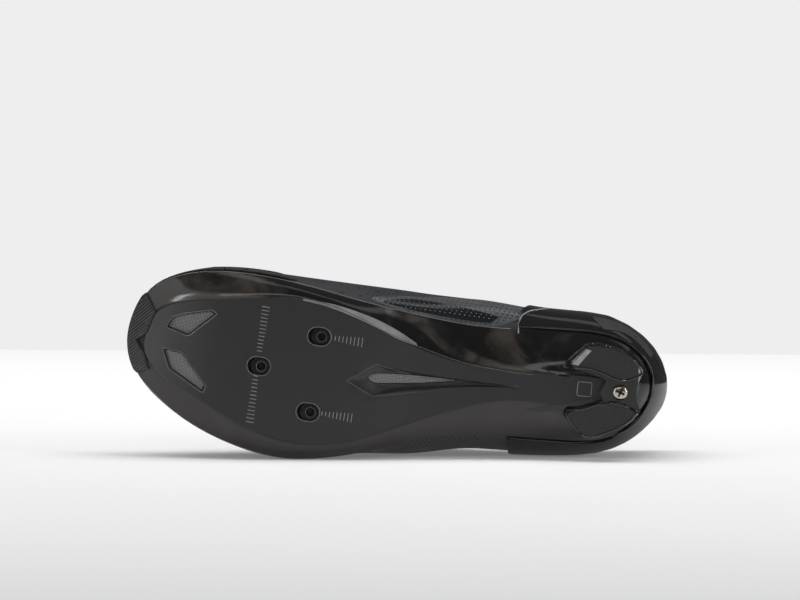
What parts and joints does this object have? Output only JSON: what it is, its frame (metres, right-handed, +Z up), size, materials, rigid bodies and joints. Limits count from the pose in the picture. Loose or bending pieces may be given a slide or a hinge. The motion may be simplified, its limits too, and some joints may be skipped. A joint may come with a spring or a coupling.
{
  "type": "road cycling shoe",
  "caption": "Right road cycling shoe on its side: three-hole composite outsole with vents, heel pad, hollow upper, heel counter, tongue and two straps.",
  "frame": {"origin": "centre of the shoe's bounding box, on the floor it lies on", "axes": "+X from toe to heel, -Y the side the sole faces, +Z up; the shoe lies on its lateral side, on the edge of the sole and on the upper and heel counter behind it, so the sole stands upright, and the toe end rises by about 5 degrees"},
  "size_m": [0.286, 0.1066, 0.0999],
  "materials": {
    "composite": "satin black moulded composite",
    "microfibre": "matte black synthetic microfibre",
    "gloss_shell": "glossy black moulded shell",
    "toe_film": "matte textured black film",
    "rubber": "black moulded rubber",
    "vent_mesh": "fine grey woven mesh",
    "lining": "black knit over foam",
    "webbing": "black coated webbing",
    "dark_steel": "black-finished steel",
    "steel": "plain steel"
  },
  "bodies": {
    "root": {"outsole": "composite", "upper": "microfibre", "insole": "lining", "tongue": "lining", "heel_counter": "gloss_shell", "toe_cap": "toe_film", "toe_bumper": "rubber", "heel_pad": "rubber", "heel_pad_screw": "steel", "cleat_nut_front": "dark_steel", "cleat_nut_rear_medial": "dark_steel", "cleat_nut_rear_lateral": "dark_steel", "vent_mesh_toe_medial": "vent_mesh", "vent_mesh_toe_lateral": "vent_mesh", "vent_mesh_arch": "vent_mesh", "strap_front": "webbing", "strap_rear": "webbing"}
  },
  "joints": []
}
